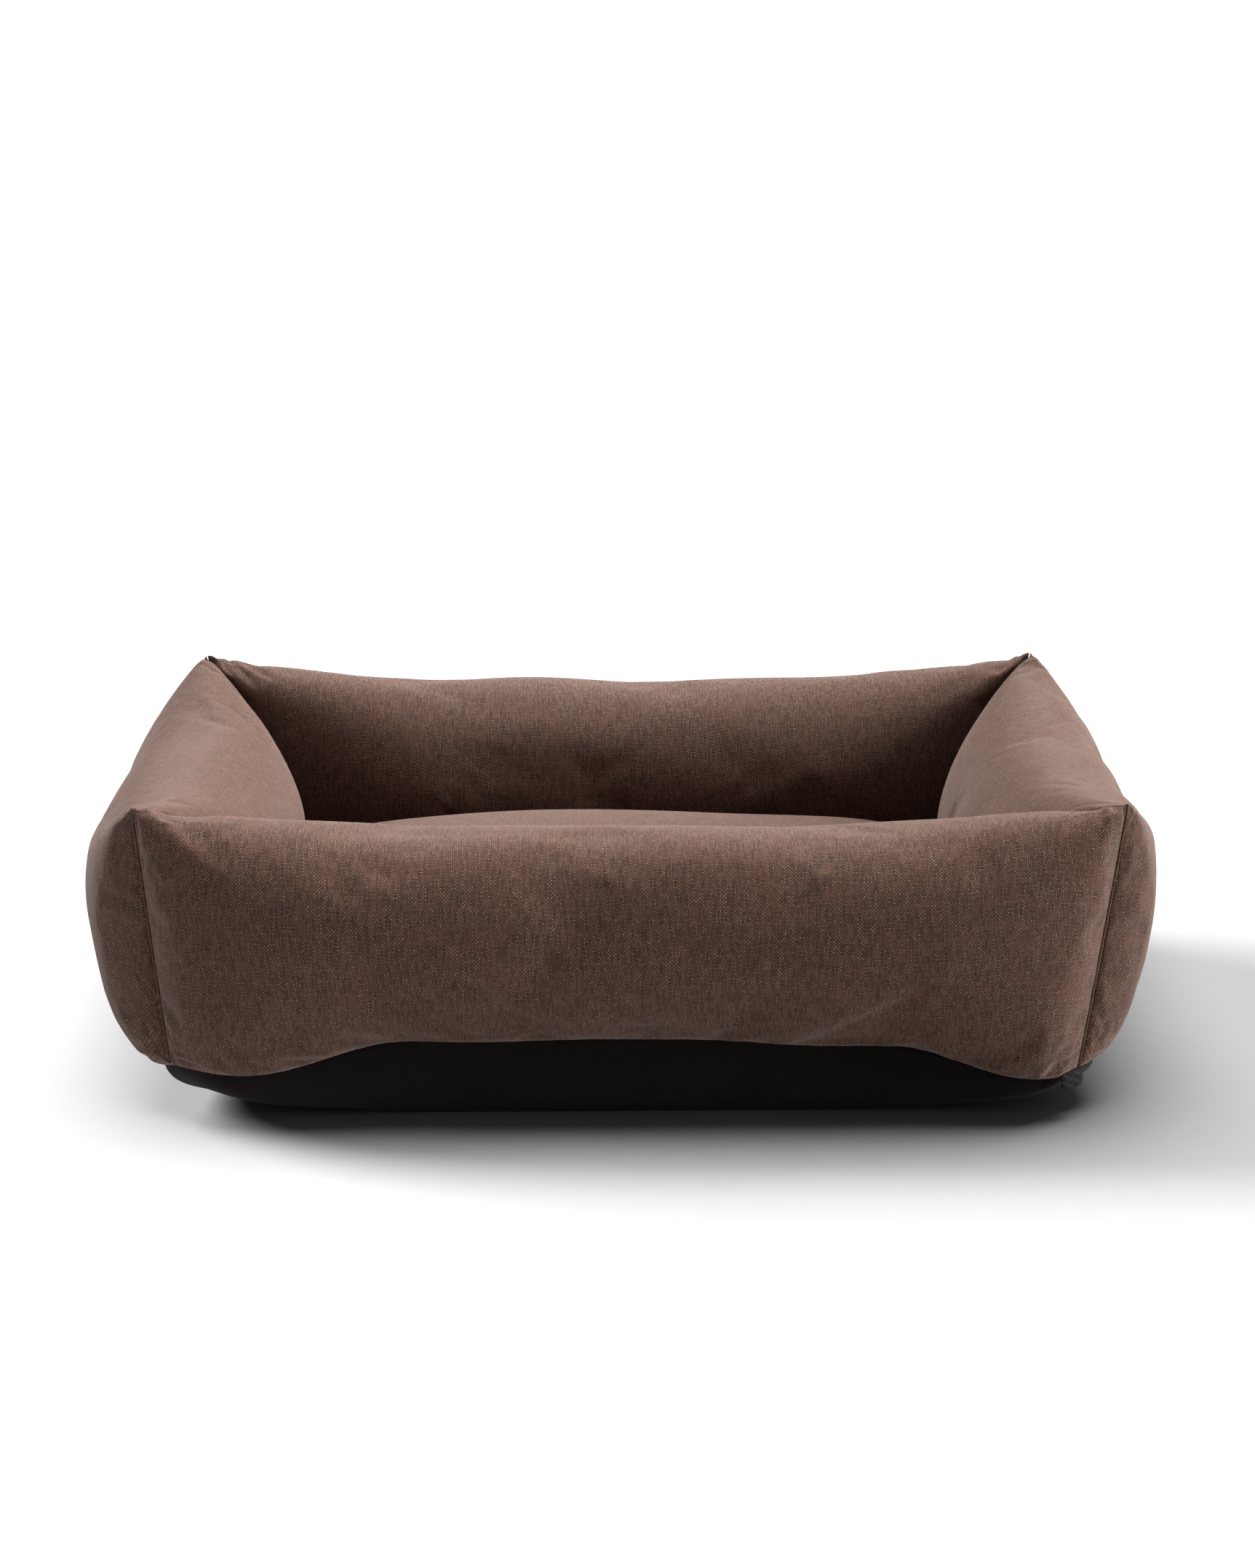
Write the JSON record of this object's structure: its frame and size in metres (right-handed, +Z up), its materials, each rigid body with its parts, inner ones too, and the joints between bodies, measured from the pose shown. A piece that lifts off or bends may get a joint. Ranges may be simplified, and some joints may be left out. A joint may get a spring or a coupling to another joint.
{
  "type": "bolster dog bed",
  "caption": "Rectangular pet bed with pinched bolster walls, a padded base that curves up off the floor and a loose domed cushion.",
  "frame": {"origin": "on the floor under the middle of the bed", "axes": "+X along the long side, +Y to the back, +Z up"},
  "size_m": [0.992, 0.7668, 0.3],
  "materials": {
    "cover_cloth": "matte brown woven upholstery cloth",
    "sole_cloth": "matte near-black hard-wearing cloth",
    "wadding": "matte white fibre",
    "foam": "matte cream foam",
    "zip_tape": "matte dark tape",
    "zip_nylon": "satin dark nylon",
    "zip_metal": "satin dark metal"
  },
  "bodies": {
    "bed": {"front_wall_cover": "cover_cloth", "front_wall_wadding": "wadding", "front_wall_core": "foam", "back_wall_cover": "cover_cloth", "back_wall_wadding": "wadding", "back_wall_core": "foam", "right_wall_cover": "cover_cloth", "right_wall_wadding": "wadding", "right_wall_core": "foam", "left_wall_cover": "cover_cloth", "left_wall_wadding": "wadding", "left_wall_core": "foam", "corner_seam_front_left": "cover_cloth", "corner_seam_front_right": "cover_cloth", "corner_seam_back_left": "cover_cloth", "corner_seam_back_right": "cover_cloth", "base_sole": "sole_cloth", "base_foam": "foam", "base_lining": "cover_cloth", "base_zip_end_tab": "zip_tape", "base_zip_tape_upper": "zip_tape", "base_zip_tape_lower": "zip_tape", "base_zip_coil": "zip_nylon", "base_zip_stop_open": "zip_metal", "base_zip_stop_closed": "zip_metal"},
    "cushion": {"cushion_cover_top": "cover_cloth", "cushion_cover_bottom": "cover_cloth", "cushion_foam": "foam", "cushion_wadding": "wadding", "cushion_zip_tape_upper": "zip_tape", "cushion_zip_tape_lower": "zip_tape", "cushion_zip_coil": "zip_nylon", "cushion_zip_stop_open": "zip_metal", "cushion_zip_stop_closed": "zip_metal"},
    "base_zip_slider": {"base_zip_slider": "zip_metal"},
    "base_zip_pull": {"base_zip_pull": "zip_metal"},
    "cushion_zip_slider": {"cushion_zip_slider": "zip_metal"},
    "cushion_zip_pull": {"cushion_zip_pull": "zip_metal"}
  },
  "joints": [
    {"name": "cushion_lift", "type": "slide", "parent": "bed", "child": "cushion", "axis": [0, 0, 1], "range_m": [0, 0.3]},
    {"name": "base_zip_slide", "type": "slide", "parent": "bed", "child": "base_zip_slider", "axis": [0, 1, 0], "range_m": [0, 0.305]},
    {"name": "base_zip_pull_swing", "type": "hinge", "parent": "base_zip_slider", "child": "base_zip_pull", "pos_m": [0.43009, -0.1539, 0.05813], "axis": [-0.2764, 0, -0.9611], "range_deg": [0, 170]},
    {"name": "cushion_zip_slide", "type": "slide", "parent": "cushion", "child": "cushion_zip_slider", "axis": [-1, 0, 0], "range_m": [0, 0.375]},
    {"name": "cushion_zip_pull_swing", "type": "hinge", "parent": "cushion_zip_slider", "child": "cushion_zip_pull", "pos_m": [0.1889, 0.20149, 0.10613], "axis": [0, -0.2764, -0.9611], "range_deg": [0, 170]}
  ]
}
